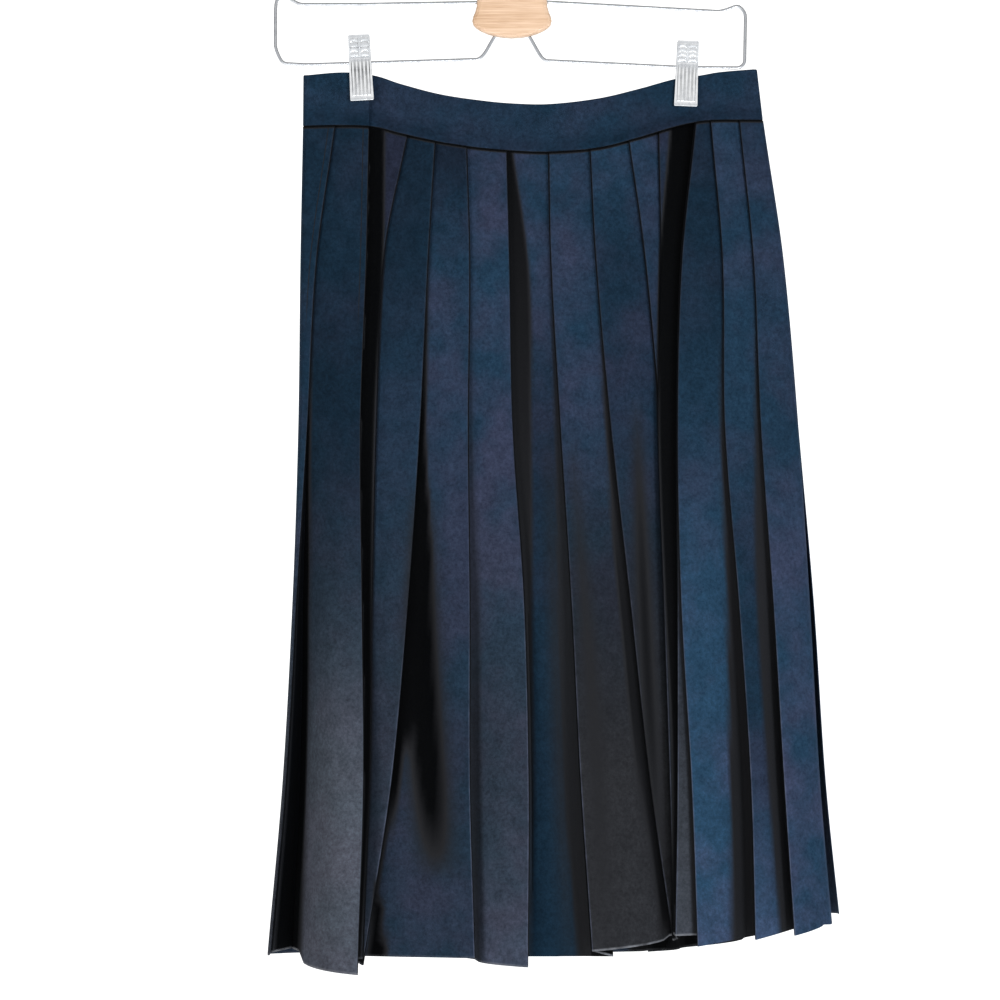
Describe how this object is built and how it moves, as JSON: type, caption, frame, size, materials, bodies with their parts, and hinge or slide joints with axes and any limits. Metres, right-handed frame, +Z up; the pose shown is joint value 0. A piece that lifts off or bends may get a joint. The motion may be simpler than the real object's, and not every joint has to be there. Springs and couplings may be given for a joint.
{
  "type": "pleated wrap skirt on a clip hanger",
  "caption": "Knee-length pleated skirt with a plain waistband and a lapped front, hanging open from the two clips of a wire hanger with a wooden middle and a hook.",
  "frame": {"origin": "the inside top of the hook, where a rail carries the hanger", "axes": "+Z up, -Y out of the skirt's front, +X to the right as the front is seen"},
  "size_m": [0.4444, 0.1107, 0.8516],
  "materials": {
    "navy_cloth": "matt navy crepe, pressed pleats",
    "chromed_steel": "bright chromed steel",
    "pale_wood": "pale wood, satin varnish"
  },
  "bodies": {
    "root": {"skirt_lap": "navy_cloth", "skirt_front": "navy_cloth", "skirt_back": "navy_cloth", "waistband_lap": "navy_cloth", "waistband_front": "navy_cloth", "waistband_back": "navy_cloth", "hanger_hook": "chromed_steel", "hanger_wire_left": "chromed_steel", "hanger_wire_right": "chromed_steel", "clip_left_front_jaw": "chromed_steel", "clip_left_back_jaw": "chromed_steel", "clip_left_spring": "chromed_steel", "clip_right_front_jaw": "chromed_steel", "clip_right_back_jaw": "chromed_steel", "clip_right_spring": "chromed_steel", "hanger_wood": "pale_wood"}
  },
  "joints": []
}
